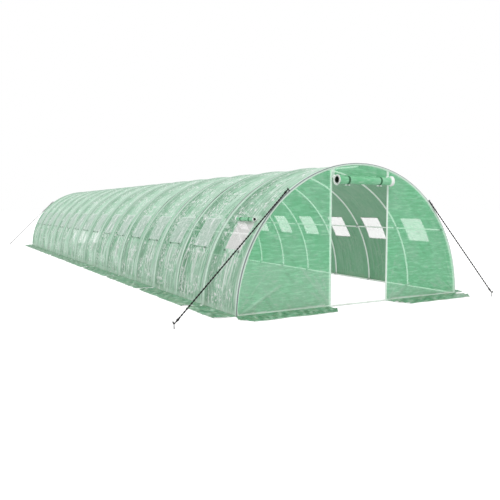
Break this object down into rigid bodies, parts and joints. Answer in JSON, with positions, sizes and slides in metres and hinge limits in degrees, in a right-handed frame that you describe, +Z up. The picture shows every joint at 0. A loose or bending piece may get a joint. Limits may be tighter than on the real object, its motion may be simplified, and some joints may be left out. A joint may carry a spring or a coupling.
{
  "type": "polytunnel greenhouse",
  "caption": "Half-round tunnel greenhouse with steel arches, a welded film cover, netted side windows and a doorway at each end with its door sheet rolled up.",
  "frame": {"origin": "centre of the ground plan, on the ground", "axes": "+X to the right seen from the front door, +Y along the tunnel to the rear, +Z up"},
  "size_m": [5.9426, 17.012, 2],
  "materials": {
    "coated_steel": "satin, powder coated",
    "cover_film": "translucent reinforced film with a square scrim",
    "panel_film": "translucent reinforced film with a square scrim",
    "skirt_film": "reinforced film, doubled and creased",
    "rolled_film": "reinforced film, rolled up",
    "insect_net": "fine woven net",
    "flap_film": "reinforced film",
    "black_rope": "braided cord",
    "green_strap": "woven strap",
    "clamp_steel": "zinc plated",
    "dark_steel": "satin"
  },
  "bodies": {
    "root": {"arch_01": "coated_steel", "arch_02": "coated_steel", "arch_03": "coated_steel", "arch_04": "coated_steel", "arch_05": "coated_steel", "arch_06": "coated_steel", "arch_07": "coated_steel", "arch_08": "coated_steel", "arch_09": "coated_steel", "arch_10": "coated_steel", "arch_11": "coated_steel", "arch_12": "coated_steel", "arch_13": "coated_steel", "arch_14": "coated_steel", "arch_15": "coated_steel", "arch_16": "coated_steel", "arch_17": "coated_steel", "base_rail_left": "coated_steel", "base_rail_right": "coated_steel", "cover_01": "cover_film", "cover_02": "cover_film", "cover_03": "cover_film", "cover_04": "cover_film", "cover_05": "cover_film", "cover_06": "cover_film", "cover_07": "cover_film", "cover_08": "cover_film", "cover_09": "cover_film", "door_ties": "green_strap", "front_door_roll": "rolled_film", "front_end_frame": "coated_steel", "front_panel": "panel_film", "front_skirt": "skirt_film", "ground_pegs": "dark_steel", "guy_ropes": "black_rope", "purlin_clamps": "clamp_steel", "rail_clamps": "clamp_steel", "rear_door_roll": "rolled_film", "rear_end_frame": "coated_steel", "rear_panel": "panel_film", "rear_skirt": "skirt_film", "ridge_purlin": "coated_steel", "rope_hooks": "dark_steel", "side_purlin_left": "coated_steel", "side_purlin_right": "coated_steel", "skirt_left": "skirt_film", "skirt_right": "skirt_film", "window_flap_rolls_left": "flap_film", "window_flap_rolls_right": "flap_film", "window_flaps_closed": "flap_film", "window_nets_left": "insect_net", "window_nets_right": "insect_net"}
  },
  "joints": []
}
